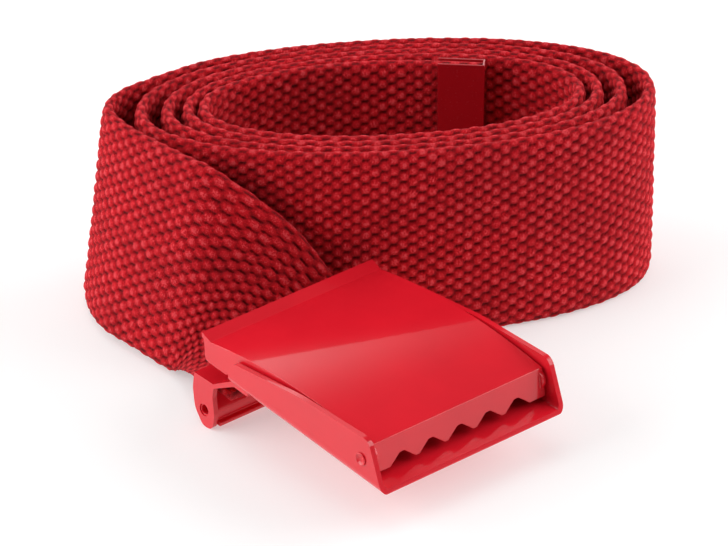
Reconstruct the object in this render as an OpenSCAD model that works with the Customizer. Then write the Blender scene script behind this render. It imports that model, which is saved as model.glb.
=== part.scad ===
// Gait belt: a woven strap wound upright into an oval coil, with a metal belt tip on its free end
// and a flip-top clamp buckle on its fixed end. The floor is z = 0.

/* [Webbing] */
// Width of the strap
web_w = 51; // [50:0.5:52]
// Thickness of the strap between its mean surfaces
web_t = 2.6; // [2.2:0.1:2.6]

/* [Coil] */
// Half of the innermost turn's long diameter
coil_a = 43.7; // [42:0.5:46]
// Half of the innermost turn's short diameter
coil_b = 18.4; // [17:0.2:20]
// Growth of the short half diameter in one turn
coil_pitch = 2.7; // [2.7:0.05:3]
// Angle between the coil's long axis and X
coil_tilt = 6.9; // [6:0.1:8]

/* [Buckle] */
// Outer width of the buckle's frame
frame_w = 57; // [57:0.5:58]
// Length of the frame's base and side walls
frame_l = 54.6; // [54:0.2:56]
// Thickness of the frame's sheet
sheet_t = 1.3; // [1.1:0.1:1.4]
// Thickness of the cover's sheet
cover_t = 1.2; // [1:0.1:1.3]
// Gap between the cover and each side wall
cover_gap = 0.6; // [0.5:0.1:0.7]
// Number of teeth on the cover's clamp edge
teeth = 6; // [5:1:7]
// Depth of the notches between the teeth
notch_d = 2.5; // [1.5:0.1:2.8]

/* [Belt tip] */
// Length of the belt tip along the strap
tip_l = 11.5; // [10:0.5:13]
// Thickness of the belt tip's sheet
tip_t = 0.5; // [0.4:0.05:0.55]

/* [Hidden] */
$fn = 64;
web_red = [0.72, 0.10, 0.14];
enamel_red = [0.84, 0.12, 0.17];

// Moves the whole model so that the middle of its box stands on the origin
origin_shift = [-0.655, -0.234, 0];

// Coil: middle of the oval, long half diameter's growth, squareness, first and last turn
coil_mid = [5.6, 43.3];
coil_grow = [2.38, 0.67];
squareness = 2.1;
u_first = 0.2;
u_last = 4.36;
step_u = 1 / 72;
// The first stretch bends inwards by this much, to leave room for the belt tip
tip_room = 1.5;
tip_room_u = 0.12;

// Buckle: place and attitude on the floor
buckle_turn = 40.9;
buckle_pitch = 6.3;
ear_low = [61.6, -16.6];
buckle_lift = -ear_low.y * cos(buckle_pitch) - ear_low.x * sin(buckle_pitch);
buckle_at = [24.2, -56.8, buckle_lift];

// Buckle profiles are drawn as [rearward, up] from the middle of the frame's front lower edge
in_w = frame_w - 2 * sheet_t;
cover_w = in_w - 2 * cover_gap;
bend_r = 2.5;
// The bent channel before the walls' outline trims it
channel_high = 20;
wall_outline = [[0, 0, 0.3], [6.2, 12.4, 2.8], [30, 10.6, 60], [frame_l, 6.4, 3.6], [frame_l, 0, 2]];

// Cover: pivot, crown arc and ends
pivot = [8, 6.3];
pivot_r = 1.3;
pivot_play = 0.05;
lobe_r = 2.6;
crown_r = 160;
crown_top = [25, 10.65];
cover_front = 7.2;
crease = 63.6;
lip_end = [66.9, 7.0];
lip_slant = 0.1;
// Clamp face: its lower edge, and how far its bend sits back inside and where the top's underside starts
cam_tip = [5.15, 2.75];
cam_bend = 0.4;
cam_inner = 1.5;
// Flanges: lower edge beside the base, then behind the base, then the rounded heel
flange_low = 1.9;
flange_past_base = 0.4;
flange_foot = [[57.4, 0.2], [62.5, 0.1]];
flange_heel = [[65, 0.2], [66, 5.8]];
flange_heel_r = 1.5;
// Notches: half widths at the mouth and the root, root radius, slant and depth along the strap
tooth_pitch = cover_w / teeth;
notch_mouth = 5.8;
notch_root = 0.7;
notch_r = 0.8;
notch_over = 0.5;
notch_slant = -18;
notch_through = 8;

// Cover pins: reach through the wall and flange, and the dished head outside
pin_reach = 3.3;
pin_head_r = pivot_r + 0.35;
pin_head_t = 0.35;
pin_dish_r = 2;
pin_dish_out = 1.8;

// Rear tongue, ears and clamp lever
tongue_top = [[48, sheet_t], [53.4, sheet_t], [60, -3.4], [67, -3.9]];
// The underside of the first bend lies this much ahead of the top
tongue_bend = 0.5;
ear_w = frame_w - 1;
ear_outline = [
    [67, -3.9, 0.8], [67.1, -8.2, 6], [65.9, -13.2, 5], [62.6, -16.8, 2.5], [59.2, -16.2, 2],
    [58.9, -12, 4], [60, -7.2, 2], [59.8, -3.9, 0]
];
web_end = [57, -6.6];
web_flat = [66, -6.6];
lever_pin = [62.6, -12.3];
lever_pin_r = 1.6;
lever_play = 0.06;
// Lever's section about its pin: plate, knuckle and nose, as [rearward, up, corner radius]
lever_outline = [
    [-4.3, -3.1, 0.4], [3.1, -3.1, 3], [3.1, 0.9, 1.6], [0.8, 4, 0.3],
    [-0.4, 4, 0.3], [-3.1, 0.9, 1.6], [-3.1, -1.9, 0.4], [-4.3, -1.9, 0.4]
];
lever_nose = 4.0;
lever_gap = 0.4;
lever_w = ear_w - 2 * sheet_t - 2 * lever_gap;
lever_through = 6;
lever_teeth = 10;
lever_tooth = [1, 1.1];
lever_tooth_over = 0.2;
// The clamp pin's ends lie this far inside the ears' outer faces, and are drilled: radius and depth
pin_sunk = 0.3;
pin_bore = [1.2, 4];

// Free stretch of the strap: pairs of points on its lower and upper edges, from the coil on
lead_edges = [
    [[-52.5, 55, 0.1], [-51, 54, 50.9]],
    [[-62.5, 48, 0.2], [-59.5, 46.5, 50.8]],
    [[-67.5, 37.5, 0.5], [-62, 38.5, 50.7]],
    [[-67, 26.5, 1], [-58, 30.5, 50.5]],
    [[-63, 15.5, 1.5], [-51.5, 23, 50.5]],
    [[-55.5, 6.5, 1.5], [-44, 15, 50.5]],
    [[-47.5, -2.5, 1], [-34.5, 9.5, 48]],
    [[-44.5, -8, 4], [-17, 9.5, 33]],
    [[-41.5, -16, 7.5], [-4, 10.5, 13]]
];
lead_steps = 8;

function unit(v) = v / norm(v);

// Outline corner b between a and c, rounded with radius r
function corner(a, b, c, r, n = 6) =
    r == 0 ? [b] :
    let (
        u = unit(a - b),
        v = unit(c - b),
        half = acos(u * v) / 2,
        mid = b + unit(u + v) * r / sin(half),
        p = b + u * r / tan(half) - mid,
        q = b + v * r / tan(half) - mid,
        w = 180 - 2 * half
    )
    [for (i = [0:n]) mid + (p * sin(w * (1 - i / n)) + q * sin(w * i / n)) / sin(w)];

function flat(p) = [p.x, p.y];

// Closed outline from [x, y, corner radius] points
function rounded(pts) = [
    for (i = [0:len(pts) - 1])
        each corner(
            flat(pts[(i + len(pts) - 1) % len(pts)]), flat(pts[i]),
            flat(pts[(i + 1) % len(pts)]), pts[i].z
        )
];

// Coil's middle line at u turns
function signed_pow(v) = sign(v) * pow(abs(v), 2 / squareness);
function inset(u) = tip_room * pow(max(0, 1 - (u - u_first) / tip_room_u), 2);
function spiral(u) =
    let (
        x = (coil_a + coil_grow.x * u + coil_grow.y * u * u) * signed_pow(cos(360 * u)),
        y = (coil_b + coil_pitch * u - inset(u)) * signed_pow(sin(360 * u))
    )
    coil_mid + [x * cos(coil_tilt) - y * sin(coil_tilt), x * sin(coil_tilt) + y * cos(coil_tilt)];
function heading(u) = unit(spiral(u + 0.001) - spiral(u - 0.001));
function left_of(h) = [-h.y, h.x];

coil_turns = [for (u = [u_first:step_u:u_last - step_u / 2]) u, u_last];
tip_heading = unit(spiral(u_first) - spiral(u_first + 0.004));
strap_start = spiral(u_first) + tip_heading * (tip_l - tip_t);

function coil_side(side) = [for (u = coil_turns) spiral(u) + left_of(heading(u)) * side];
function start_side(side) = strap_start - left_of(tip_heading) * side;

// A point of the buckle in the model's frame
function turn_z(p, a) = [p.x * cos(a) - p.y * sin(a), p.x * sin(a) + p.y * cos(a), p.z];
function turn_x(p, a) = [p.x, p.y * cos(a) - p.z * sin(a), p.y * sin(a) + p.z * cos(a)];
function buckle_point(p) = buckle_at + turn_z(turn_x(p, buckle_pitch), buckle_turn);

// Free stretch: a Catmull-Rom curve through each edge's points
coil_end = spiral(u_last);
coil_heading = heading(u_last);
knots = concat(
    [[[coil_end.x, coil_end.y, 0], [coil_end.x, coil_end.y, web_w]]],
    lead_edges,
    [for (a = [web_flat, web_end]) [for (side = [-1, 1]) buckle_point([side * web_w / 2, a.x, a.y])]]
);
function spline(a, b, c, d, t) =
    (2 * b + (c - a) * t + (2 * a - 5 * b + 4 * c - d) * t * t + (3 * b - a - 3 * c + d) * t * t * t) / 2;
last_knot = len(knots) - 1;
padded = concat([2 * knots[0] - knots[1]], knots, [2 * knots[last_knot] - knots[last_knot - 1]]);
rulings = [
    for (i = [1:last_knot], j = [0:lead_steps - 1])
        spline(padded[i - 1], padded[i], padded[i + 1], padded[i + 2], j / lead_steps),
    knots[last_knot]
];
function ruling_mid(i) = (rulings[i][0] + rulings[i][1]) / 2;
function ruling_heading(i) =
    i == 0 ? [coil_heading.x, coil_heading.y, 0] :
    ruling_mid(min(i + 1, len(rulings) - 1)) - ruling_mid(i - 1);
function ruling_ring(i) =
    let (out = unit(cross(ruling_heading(i), rulings[i][1] - rulings[i][0])) * web_t / 2)
    [rulings[i][0] - out, rulings[i][0] + out, rulings[i][1] + out, rulings[i][1] - out];

// A solid swept through four-cornered rings
module sweep(rings) {
    last = len(rings) - 1;
    points = [for (r = rings) each r];
    sides = [
        for (i = [0:last - 1], j = [0:3])
            each [
                [4 * i + j, 4 * i + (j + 1) % 4, 4 * i + 4 + j],
                [4 * i + (j + 1) % 4, 4 * i + 4 + (j + 1) % 4, 4 * i + 4 + j]
            ]
    ];
    polyhedron(points, concat(sides, [[3, 2, 1, 0]], [[for (j = [0:3]) 4 * last + j]]), convexity = 10);
}

// Puts what is drawn in the buckle's own frame where the buckle lies
module at_buckle()
    translate(buckle_at) rotate([0, 0, buckle_turn]) rotate([buckle_pitch, 0, 0]) children();

// Extrudes a [rearward, up] profile across the buckle's width, centred
module across(w)
    translate([-w / 2, 0, 0]) rotate([90, 0, 90]) linear_extrude(w) children();

module webbing_coil() color(web_red)
    linear_extrude(web_w, convexity = 10)
        polygon(concat(
            [start_side(web_t / 2)], coil_side(web_t / 2),
            reversed(coil_side(-web_t / 2)), [start_side(-web_t / 2)]
        ));

function reversed(list) = [for (i = [len(list) - 1:-1:0]) list[i]];

module webbing_lead() color(web_red)
    sweep([for (i = [0:len(rulings) - 1]) ruling_ring(i)]);

// Folded cap over the strap's free end, open on its two long edges
module belt_tip() color(enamel_red)
    translate([strap_start.x, strap_start.y, 0])
        rotate([0, 0, atan2(tip_heading.y, tip_heading.x)])
            difference() {
                translate([tip_t - tip_l, -web_t / 2 - tip_t, 0])
                    cube([tip_l, web_t + 2 * tip_t, web_w]);
                translate([-tip_l, -web_t / 2, -1])
                    cube([tip_l, web_t, web_w + 2]);
            }

// Channel section of the frame: base and two walls with bent corners
module channel() {
    half = frame_w / 2;
    polygon(rounded([
        [-half, channel_high, 0], [-half, 0, bend_r], [half, 0, bend_r], [half, channel_high, 0],
        [half - sheet_t, channel_high, 0], [half - sheet_t, sheet_t, bend_r - sheet_t],
        [sheet_t - half, sheet_t, bend_r - sheet_t], [sheet_t - half, channel_high, 0]
    ]));
}

module tongue_profile()
    polygon(concat(
        tongue_top,
        reversed([for (i = [0:len(tongue_top) - 1]) tongue_top[i] - [i == 1 ? tongue_bend : 0, sheet_t]])
    ));

module buckle_frame() color(enamel_red) at_buckle()
    difference() {
        union() {
            intersection() {
                translate([0, frame_l, 0]) rotate([90, 0, 0]) linear_extrude(frame_l) channel();
                across(frame_w) polygon(rounded(wall_outline));
            }
            across(ear_w) tongue_profile();
            for (side = [-1, 1])
                translate([side * (ear_w - sheet_t) / 2, 0, 0])
                    across(sheet_t) polygon(rounded(ear_outline));
        }
        translate([-frame_w, pivot.x, pivot.y]) rotate([0, 90, 0]) cylinder(r = pivot_r, h = 2 * frame_w);
        translate([-frame_w, lever_pin.x, lever_pin.y])
            rotate([0, 90, 0]) cylinder(r = lever_pin_r, h = 2 * frame_w);
    }

// Height of the cover's top face at a distance from the front
function crown(a) = crown_top.y - crown_r + sqrt(crown_r * crown_r - pow(a - crown_top.x, 2));
crown_line = [for (i = [0:20]) let (a = cover_front + (crease - cover_front) * i / 20) [a, crown(a)]];

module notch_outline()
    polygon(rounded([
        [-notch_mouth, -3 * notch_over, 0], [notch_mouth, -3 * notch_over, 0],
        [notch_root, notch_d, notch_r], [-notch_root, notch_d, notch_r]
    ]));

module cover_plate() color(enamel_red) at_buckle() {
    difference() {
        union() {
            // Crowned top, lip and front clamp face
            across(cover_w) polygon(concat(
                [cam_tip], crown_line, [lip_end, lip_end - [lip_slant, cover_t]],
                reversed([for (p = crown_line) if (p.x > cover_front + cam_inner) p - [0, cover_t]]),
                [[cover_front + cover_t + cam_bend, crown(cover_front) - cover_t], cam_tip + [cover_t, 0]]
            ));
            // Side flanges
            for (side = [-1, 1])
                translate([side * (cover_w - cover_t) / 2, 0, 0]) across(cover_t) {
                    translate(pivot) circle(r = lobe_r);
                    polygon(concat(
                        [pivot + [-1, 0], [pivot.x, flange_low], [frame_l + flange_past_base, flange_low]],
                        flange_foot,
                        corner(flange_foot[1], flange_heel[0], flange_heel[1], flange_heel_r),
                        [flange_heel[1]],
                        reversed([for (p = crown_line) p - [0, cover_t / 2]])
                    ));
                }
        }
        // Notches between the teeth
        for (i = [1:teeth - 1])
            translate([i * tooth_pitch - cover_w / 2, cam_tip.x, cam_tip.y])
                rotate([notch_slant, 0, 0]) rotate([90, 0, 0])
                    linear_extrude(notch_through, center = true) notch_outline();
        // Pivot holes, in the flanges only
        for (side = [-1, 1])
            translate([side * (cover_w - cover_t) / 2, pivot.x, pivot.y])
                rotate([0, 90, 0]) cylinder(r = pivot_r + pivot_play, h = 2 * cover_t, center = true);
    }
}

// Short pivot with a dished head outside the wall; side is -1 on the left and 1 on the right
module cover_pin(side) color(enamel_red) at_buckle()
    translate([side * frame_w / 2, pivot.x, pivot.y]) rotate([0, side * 90, 0])
        difference() {
            union() {
                translate([0, 0, -pin_reach]) cylinder(r = pivot_r, h = pin_reach);
                cylinder(r = pin_head_r, h = pin_head_t);
            }
            translate([0, 0, pin_dish_out]) sphere(r = pin_dish_r);
        }

module cover_pin_left() cover_pin(-1);
module cover_pin_right() cover_pin(1);

// Rear clamp: a flat lever that turns on its pin, with a toothed nose under the strap
module clamp_lever() color(enamel_red) at_buckle()
    difference() {
        across(lever_w) translate(lever_pin) difference() {
            polygon(rounded(lever_outline));
            circle(r = lever_pin_r + lever_play);
        }
        for (i = [0:lever_teeth])
            translate([(i / lever_teeth - 0.5) * lever_w, lever_pin.x, lever_pin.y + lever_nose])
                rotate([-90, 0, 0]) linear_extrude(lever_through, center = true)
                    polygon([
                        [-lever_tooth.x, -lever_tooth_over], [lever_tooth.x, -lever_tooth_over],
                        [0, lever_tooth.y]
                    ]);
    }

// Pin through both ears, its drilled ends sunk below their outer faces
module clamp_pin() color(enamel_red) at_buckle() {
    length = ear_w - 2 * pin_sunk;
    translate([0, lever_pin.x, lever_pin.y]) rotate([0, 90, 0])
        difference() {
            cylinder(r = lever_pin_r, h = length, center = true);
            for (side = [-1, 1])
                translate([0, 0, side * length / 2])
                    cylinder(r = pin_bore[0], h = 2 * pin_bore[1], center = true);
        }
}

translate(origin_shift) webbing_coil();
translate(origin_shift) webbing_lead();
translate(origin_shift) belt_tip();
translate(origin_shift) buckle_frame();
translate(origin_shift) cover_plate();
translate(origin_shift) cover_pin_left();
translate(origin_shift) cover_pin_right();
translate(origin_shift) clamp_lever();
translate(origin_shift) clamp_pin();
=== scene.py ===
"""Gait belt: woven webbing wound into an upright coil, with a belt tip and a flip-top clamp buckle."""
import math

import bmesh
import bpy
import numpy as np
from mathutils import Matrix, Vector


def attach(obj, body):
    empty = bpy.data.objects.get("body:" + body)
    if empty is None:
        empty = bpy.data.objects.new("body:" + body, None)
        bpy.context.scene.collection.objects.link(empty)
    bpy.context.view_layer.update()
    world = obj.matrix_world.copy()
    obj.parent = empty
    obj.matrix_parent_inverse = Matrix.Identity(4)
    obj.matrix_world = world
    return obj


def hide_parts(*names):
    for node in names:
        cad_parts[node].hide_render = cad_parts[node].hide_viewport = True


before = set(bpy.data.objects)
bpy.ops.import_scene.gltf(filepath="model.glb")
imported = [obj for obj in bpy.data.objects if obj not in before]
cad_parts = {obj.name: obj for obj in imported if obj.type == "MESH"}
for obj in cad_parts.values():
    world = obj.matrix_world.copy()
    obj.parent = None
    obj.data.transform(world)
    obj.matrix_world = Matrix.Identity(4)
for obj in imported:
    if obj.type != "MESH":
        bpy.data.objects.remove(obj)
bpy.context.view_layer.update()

MM = 0.001
rng = np.random.default_rng(7)

# ---- Shape of the strap and the buckle's place, in millimetres, as in the CAD model ----
ORIGIN_SHIFT = np.array([-0.655, -0.234, 0.0])
WEB_W = 51.0
WEB_T = 2.6
COIL_MID = np.array([5.6, 43.3])
COIL_A = 43.7
COIL_B = 18.4
COIL_PITCH = 2.7
COIL_GROW = (2.38, 0.67)
COIL_TILT = math.radians(6.9)
SQUARENESS = 2.1
U_FIRST = 0.2
U_LAST = 4.36
TIP_ROOM = 1.5
TIP_ROOM_U = 0.12
TIP_L = 11.5
TIP_T = 0.5
LEAD_EDGES = [
    [[-52.5, 55, 0.1], [-51, 54, 50.9]],
    [[-62.5, 48, 0.2], [-59.5, 46.5, 50.8]],
    [[-67.5, 37.5, 0.5], [-62, 38.5, 50.7]],
    [[-67, 26.5, 1], [-58, 30.5, 50.5]],
    [[-63, 15.5, 1.5], [-51.5, 23, 50.5]],
    [[-55.5, 6.5, 1.5], [-44, 15, 50.5]],
    [[-47.5, -2.5, 1], [-34.5, 9.5, 48]],
    [[-44.5, -8, 4], [-17, 9.5, 33]],
    [[-41.5, -16, 7.5], [-4, 10.5, 13]],
]
BUCKLE_TURN = math.radians(40.9)
BUCKLE_PITCH = math.radians(6.3)
EAR_LOW = (61.6, -16.6)
BUCKLE_LIFT = -EAR_LOW[1] * math.cos(BUCKLE_PITCH) - EAR_LOW[0] * math.sin(BUCKLE_PITCH)
BUCKLE_AT = np.array([24.2, -56.8, BUCKLE_LIFT])
WEB_ENDS = [(66.0, -6.6), (57.0, -6.6)]

# ---- Weave, in millimetres ----
COLUMN = 2.24
ROWS = 34
RINGS_PER_COLUMN = 4
POINTS_PER_ROW = 6
KNOB_R = 1.52
RELIEF = 0.95
EDGE_RELIEF = 0.5
# Seeded variation: how far a knob strays, its share of height, and how many columns are drawn
KNOB_STRAY = 0.16
KNOB_SWELL = 0.09
DRAWN_COLUMNS = 700
# The selvedge begins this far in from the edge and is complete after this much more
SELVEDGE_AT = 3.2
SELVEDGE_BLEND = 2.2
# A squeezed strap's knobs end this far below its own surface
SQUEEZED_BELOW = 0.12
# Squeezed lengths: past the belt tip, then before the buckle's tongue, each with its blend
TIP_SQUEEZE = (0.3, 0.6)
CLAMP_SQUEEZE = (13, 5)
CLAMP_SQUEEZE_SHARE = 0.8
# Points drawn along the whole coil, and between two of the free stretch's points
COIL_POINTS = 6000
LEAD_POINTS = 40
# A short part of a turn, which gives the strap's heading at its ends
HEADING_STEP_FIRST = 0.004
HEADING_STEP_LAST = 0.001

# ---- Finish of the metal parts' edges ----
SAME_POINT = 1e-6
FLAT_WITHIN = math.radians(0.25)
EDGE_FROM = math.radians(30)
SHARP_FROM = math.radians(32)
BEVEL_SEGMENTS = 3

# ---- Camera and floor ----
LENS = 260.0
SENSOR = 36
VIEW_ELEVATION = math.radians(29.3)
VIEW_TURN = math.radians(0.5)
VIEW_DISTANCE = 1248.2
LOOK_AT = (-1.44, -0.23, 25.9)
FLOOR_HALF = 4


def coil_middle(u):
    """The coil's middle line at u turns, as [x, y] rows."""
    def signed_pow(v):
        return np.sign(v) * np.abs(v) ** (2 / SQUARENESS)
    inset = TIP_ROOM * np.maximum(0, 1 - (u - U_FIRST) / TIP_ROOM_U) ** 2
    x = (COIL_A + COIL_GROW[0] * u + COIL_GROW[1] * u * u) * signed_pow(np.cos(2 * np.pi * u))
    y = (COIL_B + COIL_PITCH * u - inset) * signed_pow(np.sin(2 * np.pi * u))
    c, s = math.cos(COIL_TILT), math.sin(COIL_TILT)
    return COIL_MID + np.stack([x * c - y * s, x * s + y * c], axis=-1)


def resampled(lower, upper):
    """Both edge lines again, with rings evenly spaced along the middle, a whole number of columns long."""
    middle = (lower + upper) / 2
    along = np.concatenate([[0], np.cumsum(np.linalg.norm(np.diff(middle, axis=0), axis=1))])
    columns = round(along[-1] / COLUMN)
    at = np.linspace(0, along[-1], columns * RINGS_PER_COLUMN + 1)
    def spread(line):
        return np.stack([np.interp(at, along, line[:, i]) for i in range(3)], axis=1)
    return spread(lower), spread(upper), columns, along[-1]


def coil_edges():
    """The coil's lower and upper edges, from inside the belt tip outwards."""
    turns = coil_middle(np.linspace(U_FIRST, U_LAST, COIL_POINTS))
    heading = turns[0] - coil_middle(np.array([U_FIRST + HEADING_STEP_FIRST]))[0]
    heading /= np.linalg.norm(heading)
    start = turns[0] + heading * (TIP_L - TIP_T)
    line = np.vstack([start, turns])
    lower = np.column_stack([line, np.zeros(len(line))])
    return lower, lower + [0, 0, WEB_W]


def buckle_matrix():
    """The buckle's own frame, x across, y rearward, z up, in the model's frame, in metres."""
    place = Matrix.Translation(Vector((BUCKLE_AT + ORIGIN_SHIFT) * MM))
    return place @ Matrix.Rotation(BUCKLE_TURN, 4, "Z") @ Matrix.Rotation(BUCKLE_PITCH, 4, "X")


def lead_edge_lines():
    """The free stretch's lower and upper edges, as Catmull-Rom curves through the CAD model's points."""
    coil_end = coil_middle(np.array([U_LAST]))[0]
    to_model = np.array(buckle_matrix())
    def on_buckle(x, a, h):
        return (to_model @ [x * MM, a * MM, h * MM, 1])[:3] / MM - ORIGIN_SHIFT
    knots = [[[*coil_end, 0], [*coil_end, WEB_W]], *LEAD_EDGES]
    knots += [[on_buckle(side * WEB_W / 2, *end) for side in (-1, 1)] for end in WEB_ENDS]
    knots = np.array([[list(p) for p in pair] for pair in knots], float)
    padded = np.concatenate([[2 * knots[0] - knots[1]], knots, [2 * knots[-1] - knots[-2]]])
    points = []
    for i in range(1, len(padded) - 2):
        a, b, c, d = padded[i - 1:i + 3]
        for t in np.linspace(0, 1, LEAD_POINTS, endpoint=False):
            points.append((2 * b + (c - a) * t + (2 * a - 5 * b + 4 * c - d) * t * t
                           + (3 * b - a - 3 * c + d) * t ** 3) / 2)
    points.append(padded[-2])
    points = np.array(points)
    return points[:, 0], points[:, 1]


def knob_heights(columns, first_column, jitter):
    """Height from 0 to 1 of the woven knobs on a grid of rings by points round the strap's section."""
    n = ROWS * POINTS_PER_ROW
    at_column = first_column + np.arange(columns * RINGS_PER_COLUMN + 1) / RINGS_PER_COLUMN
    at_row = np.arange(n) / POINTS_PER_ROW
    row_pitch = section_length() / ROWS
    height = np.zeros((len(at_column), n))
    for near in (-1, 0, 1):
        column = np.round(at_column).astype(int) + near
        shift = 0.5 * (column % 2)
        for side in (0, 1):
            row = np.floor(at_row[None, :] - shift[:, None]) + side
            index = (column[:, None] % len(jitter), row.astype(int) % ROWS)
            ds = (at_column - column)[:, None] * COLUMN + jitter[..., 0][index] * KNOB_STRAY
            dw = (at_row[None, :] - row - shift[:, None]) * row_pitch + jitter[..., 1][index] * KNOB_STRAY
            dome = 1 - (ds * ds + dw * dw) / KNOB_R ** 2
            top = np.sqrt(np.maximum(dome, 0)) * (1 + KNOB_SWELL * jitter[..., 2][index])
            height = np.maximum(height, top)
    return height


def section_length():
    """Length round the strap's section: two flats and two half-round edges."""
    return 2 * (WEB_W - WEB_T) + math.pi * WEB_T


def section():
    """Round the strap's section: across and out positions, outward normals, share of selvedge, length."""
    n = ROWS * POINTS_PER_ROW
    w = np.arange(n) / n * section_length()
    half, flat, bend = WEB_T / 2, WEB_W - WEB_T, math.pi * WEB_T / 2
    across, out, n_across, n_out = (np.zeros(n) for _ in range(4))
    for i, at in enumerate(w):
        if at < flat:
            across[i], out[i], n_out[i] = at - flat / 2, half, 1
        elif at < flat + bend:
            angle = (at - flat) / half
            n_across[i], n_out[i] = math.sin(angle), math.cos(angle)
            across[i], out[i] = flat / 2 + half * n_across[i], half * n_out[i]
        elif at < 2 * flat + bend:
            across[i], out[i], n_out[i] = flat / 2 - (at - flat - bend), -half, -1
        else:
            angle = (at - 2 * flat - bend) / half
            n_across[i], n_out[i] = -math.sin(angle), -math.cos(angle)
            across[i], out[i] = -flat / 2 + half * n_across[i], half * n_out[i]
    selvedge = np.clip((np.abs(across) - (WEB_W / 2 - SELVEDGE_AT)) / SELVEDGE_BLEND, 0, 1)
    return across, out, n_across, n_out, selvedge * selvedge * (3 - 2 * selvedge), w


def woven(name, lower, upper, first_column, first_heading, squeeze, jitter):
    """The strap between two edge lines, with its woven knobs as geometry."""
    lower, upper, columns, length = resampled(lower, upper)
    middle, wide = (lower + upper) / 2, upper - lower
    width = np.linalg.norm(wide, axis=1)[:, None]
    up = wide / width
    heading = np.gradient(middle, axis=0)
    if first_heading is not None:
        heading[0] = first_heading
    normal = np.cross(heading, up)
    normal /= np.linalg.norm(normal, axis=1)[:, None]
    across, out, n_across, n_out, selvedge, w = section()
    knob = knob_heights(columns, first_column, jitter)
    rise = (1 - selvedge) * RELIEF * (knob - 0.5) + selvedge * EDGE_RELIEF * (knob - 1)
    s = np.linspace(0, length, len(middle))
    rise = rise - squeeze(s, length)[:, None] * (rise + SQUEEZED_BELOW)
    a = across * width / WEB_W + n_across * rise
    o = out + n_out * rise
    points = middle[:, None] + up[:, None] * a[..., None] + normal[:, None] * o[..., None]
    rings, n = points.shape[:2]
    flat = (points.reshape(-1, 3) + ORIGIN_SHIFT) * MM
    i, j = np.meshgrid(np.arange(rings - 1), np.arange(n), indexing="ij")
    k = (j + 1) % n
    quads = np.stack([i * n + j, i * n + k, (i + 1) * n + k, (i + 1) * n + j], axis=-1).reshape(-1, 4)
    ends = [list(range(n))[::-1], list(range((rings - 1) * n, rings * n))]
    mesh = bpy.data.meshes.new(name)
    mesh.from_pydata(flat.tolist(), [], quads.tolist() + ends)
    along = (first_column * COLUMN + s)[:, None] + 0 * w[None, :]
    around = w[None, :] + 0 * s[:, None]
    for attribute, values in (("knob", knob), ("along", along), ("around", around)):
        layer = mesh.attributes.new(attribute, "FLOAT", "POINT")
        layer.data.foreach_set("value", values.astype(np.float32).ravel())
    mesh.polygons.foreach_set("use_smooth", np.ones(len(mesh.polygons), bool))
    mesh.validate()
    piece = bpy.data.objects.new(name, mesh)
    bpy.context.scene.collection.objects.link(piece)
    return piece, columns, length


def bevelled(node, width):
    """A finished copy of a CAD node whose sharp edges are rounded."""
    bm = bmesh.new()
    bm.from_mesh(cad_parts[node].data)
    bmesh.ops.remove_doubles(bm, verts=bm.verts, dist=SAME_POINT)
    bmesh.ops.dissolve_limit(bm, angle_limit=FLAT_WITHIN, verts=bm.verts, edges=bm.edges)
    sharp = [e for e in bm.edges if e.is_manifold and e.calc_face_angle() > EDGE_FROM]
    bmesh.ops.bevel(
        bm, geom=sharp, offset=width * MM, offset_type="OFFSET", segments=BEVEL_SEGMENTS, profile=0.5,
        affect="EDGES", clamp_overlap=True, loop_slide=True)
    bmesh.ops.recalc_face_normals(bm, faces=bm.faces)
    mesh = bpy.data.meshes.new(node + "_finished")
    bm.to_mesh(mesh)
    bm.free()
    if "custom_normal" in mesh.attributes:
        mesh.attributes.remove(mesh.attributes["custom_normal"])
    mesh.polygons.foreach_set("use_smooth", np.ones(len(mesh.polygons), bool))
    mesh.set_sharp_from_angle(angle=SHARP_FROM)
    piece = bpy.data.objects.new(node + "_finished", mesh)
    bpy.context.scene.collection.objects.link(piece)
    even = piece.modifiers.new("even_normals", "WEIGHTED_NORMAL")
    even.keep_sharp = True
    return piece


# ---- Materials ----
class Nodes:
    """A small helper that adds nodes to one material and links them."""

    def __init__(self, name):
        self.material = bpy.data.materials.new(name)
        self.material.use_nodes = True
        self.tree = self.material.node_tree
        self.shader = self.tree.nodes["Principled BSDF"]

    def add(self, kind, inputs=None, **settings):
        node = self.tree.nodes.new(kind)
        for key, value in settings.items():
            setattr(node, key, value)
        for key, value in (inputs or {}).items():
            if isinstance(value, bpy.types.NodeSocket):
                self.tree.links.new(value, node.inputs[key])
            else:
                node.inputs[key].default_value = value
        return node

    def out(self, kind, socket, inputs=None, **settings):
        return self.add(kind, inputs, **settings).outputs[socket]

    def ramp(self, fac, stops):
        node = self.add("ShaderNodeValToRGB", {"Fac": fac})
        ramp = node.color_ramp
        while len(ramp.elements) < len(stops):
            ramp.elements.new(0.5)
        for element, (position, colour) in zip(ramp.elements, stops):
            element.position, element.color = position, (*colour, 1)
        return node.outputs["Color"]

    def set(self, **values):
        for key, value in values.items():
            socket = self.shader.inputs[key.replace("_", " ")]
            if isinstance(value, bpy.types.NodeSocket):
                self.tree.links.new(value, socket)
            else:
                socket.default_value = value


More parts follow.
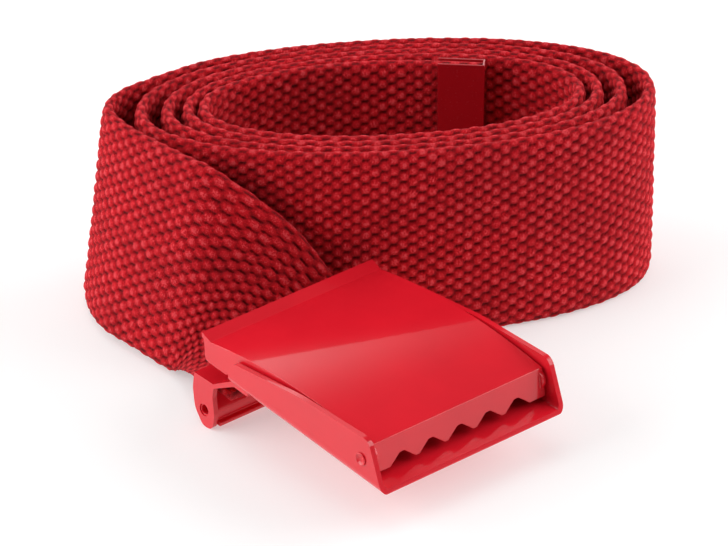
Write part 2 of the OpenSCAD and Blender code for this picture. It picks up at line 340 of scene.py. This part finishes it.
def webbing_material():
    """Red yarn: painted shade in the pits between knobs, a painted highlight on the knob tops, fine strands
    and slow changes in the dye.
    """
    m = Nodes("webbing_red")
    knob = m.out("ShaderNodeAttribute", "Fac", attribute_name="knob")
    along = m.out("ShaderNodeAttribute", "Fac", attribute_name="along")
    around = m.out("ShaderNodeAttribute", "Fac", attribute_name="around")
    place = m.out("ShaderNodeCombineXYZ", "Vector", {"X": along, "Y": around})
    strands_at = m.out("ShaderNodeVectorMath", "Vector", {0: place, 1: (2.8, 1.5, 1.0)}, operation="MULTIPLY")
    strands = m.out("ShaderNodeTexNoise", "Fac",
                    {"Vector": strands_at, "Scale": 1.0, "Detail": 3.0, "Roughness": 0.65, "Distortion": 1.2})
    fuzz = m.out("ShaderNodeTexNoise", "Fac",
                 {"Vector": place, "Scale": 5.0, "Detail": 4.0, "Roughness": 0.7, "Distortion": 0.3})
    dye = m.out("ShaderNodeTexNoise", "Fac", {"Vector": place, "Scale": 0.06, "Detail": 2.0})
    # Knob height, roughened by the strands, drives the ramp below: painted shade towards the pits between
    # knobs, painted highlight on the knob tops
    painted_light_by_height = m.out("ShaderNodeMath", "Value", {0: strands, 1: -0.5}, operation="ADD")
    painted_light_by_height = m.out("ShaderNodeMath", "Value", {0: painted_light_by_height, 1: 1.5, 2: knob}, operation="MULTIPLY_ADD")
    colour = m.ramp(painted_light_by_height, [
        (0.0, (0.13, 0.001, 0.003)), (0.4, (0.40, 0.002, 0.008)),
        (0.72, (0.66, 0.004, 0.012)), (0.94, (0.84, 0.012, 0.024)), (1.0, (0.92, 0.07, 0.085))])
    tone = m.out("ShaderNodeMapRange", "Result", {"Value": dye, "From Min": 0.3, "From Max": 0.7,
                                                  "To Min": 0.9, "To Max": 1.06})
    colour = m.out("ShaderNodeVectorMath", "Vector", {0: colour, "Scale": tone}, operation="SCALE")
    fibre = m.out("ShaderNodeMath", "Value", {0: strands, 1: fuzz}, operation="ADD")
    bump = m.out("ShaderNodeBump", "Normal", {"Height": fibre, "Strength": 1.0, "Distance": 0.0004})
    m.set(Base_Color=colour, Normal=bump, Roughness=0.86, Sheen_Weight=0.12, Sheen_Roughness=0.45,
          Sheen_Tint=(1.0, 0.42, 0.45, 1), Specular_IOR_Level=0.16)
    return m.material


def enamel_material(name, base, roughness=0.2):
    """Glossy red enamel with a faint orange peel and slightly uneven gloss."""
    m = Nodes(name)
    place = m.out("ShaderNodeTexCoord", "Object")
    cloud = m.out("ShaderNodeTexNoise", "Fac", {"Vector": place, "Scale": 60.0, "Detail": 3.0})
    tone = m.out("ShaderNodeMapRange", "Result", {"Value": cloud, "From Min": 0.3, "From Max": 0.7,
                                                  "To Min": 0.95, "To Max": 1.04})
    colour = m.out("ShaderNodeVectorMath", "Vector", {0: base, "Scale": tone}, operation="SCALE")
    specks = m.out("ShaderNodeTexNoise", "Fac", {"Vector": place, "Scale": 1800.0, "Detail": 2.0})
    rough = m.out("ShaderNodeMapRange", "Result", {"Value": specks, "From Min": 0.35, "From Max": 0.75,
                                                   "To Min": roughness - 0.03, "To Max": roughness + 0.05})
    peel = m.out("ShaderNodeTexNoise", "Fac", {"Vector": place, "Scale": 420.0, "Detail": 2.0})
    bump = m.out("ShaderNodeBump", "Normal", {"Height": peel, "Strength": 0.08, "Distance": 0.0001})
    m.set(Base_Color=colour, Roughness=rough, Normal=bump, Coat_Weight=0.6, Coat_Roughness=0.04,
          Specular_IOR_Level=0.25)
    return m.material


def floor_material():
    """A pale floor that glows a little, so that shadows on it stay light."""
    m = Nodes("floor_white")
    place = m.out("ShaderNodeTexCoord", "Object")
    cloud = m.out("ShaderNodeTexNoise", "Fac", {"Vector": place, "Scale": 4.0, "Detail": 2.0})
    colour = m.ramp(cloud, [(0.0, (0.62, 0.62, 0.62)), (1.0, (0.65, 0.65, 0.65))])
    m.set(Base_Color=colour, Roughness=0.9, Specular_IOR_Level=0.1,
          Emission_Color=(1, 1, 1, 1), Emission_Strength=0.4)
    return m.material


# ---- Camera ----
look_at = Vector(LOOK_AT) * MM
back = Vector((-math.sin(VIEW_TURN) * math.cos(VIEW_ELEVATION),
               -math.cos(VIEW_TURN) * math.cos(VIEW_ELEVATION), math.sin(VIEW_ELEVATION)))
camera = bpy.data.objects.new("camera", bpy.data.cameras.new("camera"))
camera.data.lens = LENS
camera.data.sensor_width = SENSOR
camera.location = look_at + back * VIEW_DISTANCE * MM
camera.rotation_euler = (-back).to_track_quat("-Z", "Y").to_euler()
bpy.context.scene.collection.objects.link(camera)
bpy.context.scene.camera = camera

# ---- Webbing ----
webbing = webbing_material()
jitter = rng.uniform(-1, 1, (DRAWN_COLUMNS, ROWS, 3))


def squeeze_coil(s, length):
    """Flattens the knobs inside the belt tip."""
    return np.clip((TIP_L + TIP_SQUEEZE[0] - s) / TIP_SQUEEZE[1], 0, 1)


def squeeze_lead(s, length):
    """Flattens the knobs where the buckle's tongue and clamp hold the strap."""
    return CLAMP_SQUEEZE_SHARE * np.clip((s - (length - CLAMP_SQUEEZE[0])) / CLAMP_SQUEEZE[1], 0, 1)


coil, coil_columns, coil_length = woven(
    "webbing_coil_woven", *coil_edges(), 0, None, squeeze_coil, jitter)
end_turn = coil_middle(np.array([U_LAST - HEADING_STEP_LAST, U_LAST]))
end_heading = [*(end_turn[1] - end_turn[0]), 0]
lead, _, lead_length = woven(
    "webbing_lead_woven", *lead_edge_lines(), coil_columns, end_heading, squeeze_lead, jitter)
for piece, node, length in ((coil, "webbing_coil", coil_length), (lead, "webbing_lead", lead_length)):
    piece.data.materials.append(webbing)
    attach(piece, "belt")
    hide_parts(node)
print("webbing lengths in mm:", round(coil_length, 1), round(lead_length, 1))

# ---- Buckle and belt tip ----
enamel = enamel_material("enamel_red", (0.74, 0.011, 0.024))
# The belt tip's enamel is the buckle's red made darker: painted shade for a tip turned away from the lights
tip_enamel = enamel_material("tip_enamel_red", (0.42, 0.006, 0.012), 0.24)
FINISHED = [
    ("buckle_frame", "belt", 0.28, enamel, "enamel"),
    ("cover_plate", "cover", 0.3, enamel, "enamel"),
    ("clamp_lever", "lever", 0.1, enamel, "enamel"),
    ("clamp_pin", "belt", 0.15, enamel, "enamel"),
    ("cover_pin_left", "belt", 0.1, enamel, "enamel"),
    ("cover_pin_right", "belt", 0.1, enamel, "enamel"),
    ("belt_tip", "belt", 0.2, tip_enamel, "tip_enamel"),
]
for node, body, width, material, slot in FINISHED:
    piece = bevelled(node, width)
    piece.data.materials.append(material)
    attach(piece, body)
    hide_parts(node)

# ---- Floor and light ----
floor_mesh = bpy.data.meshes.new("floor")
floor_corners = [(x * FLOOR_HALF, y * FLOOR_HALF, 0) for x, y in ((-1, -1), (1, -1), (1, 1), (-1, 1))]
floor_mesh.from_pydata(floor_corners, [], [(0, 1, 2, 3)])
floor = bpy.data.objects.new("floor", floor_mesh)
floor.data.materials.append(floor_material())
bpy.context.scene.collection.objects.link(floor)


def softbox(name, place, size, power, target=(0, 0.01, 0.02)):
    """A rectangular studio light that points at the object and that the camera doesn't see."""
    light = bpy.data.lights.new(name, "AREA")
    light.shape, light.size, light.size_y, light.energy = "RECTANGLE", *size, power
    lamp = bpy.data.objects.new(name, light)
    lamp.location = place
    lamp.rotation_euler = (Vector(target) - Vector(place)).to_track_quat("-Z", "Y").to_euler()
    lamp.visible_camera = False
    bpy.context.scene.collection.objects.link(lamp)


softbox("right_softbox", (0.70, 0.12, 0.40), (0.8, 0.7), 5.6)
softbox("left_softbox", (-0.70, -0.10, 0.36), (0.8, 0.6), 5.4)
softbox("top_softbox", (-0.10, 0.05, 0.9), (0.7, 0.7), 2.2)

# Studio surroundings: a glow low down behind the object that fades upwards, and dim elsewhere
world = bpy.data.worlds.new("studio")
world.use_nodes = True
sky = world.node_tree
direction = sky.nodes.new("ShaderNodeTexCoord")
split = sky.nodes.new("ShaderNodeSeparateXYZ")
sky.links.new(direction.outputs["Generated"], split.inputs[0])


def fade(axis, start, end, low, high):
    """A value that goes smoothly from low to high as a direction's axis goes from start to end."""
    node = sky.nodes.new("ShaderNodeMapRange")
    node.interpolation_type = "SMOOTHSTEP"
    sky.links.new(split.outputs[axis], node.inputs["Value"])
    for socket, value in (("From Min", start), ("From Max", end), ("To Min", low), ("To Max", high)):
        node.inputs[socket].default_value = value
    return node.outputs["Result"]


glow = sky.nodes.new("ShaderNodeMath")
glow.operation = "MULTIPLY_ADD"
sky.links.new(fade("Z", 0.36, 0.68, 1.9, 0.0), glow.inputs[0])
sky.links.new(fade("Y", 0.1, 0.7, 0.0, 1.0), glow.inputs[1])
glow.inputs[2].default_value = 0.1
sky.links.new(glow.outputs[0], sky.nodes["Background"].inputs["Strength"])
sky.nodes["Background"].inputs["Color"].default_value = (1, 1, 1, 1)
bpy.context.scene.world = world
bpy.context.scene.view_settings.view_transform = "Standard"
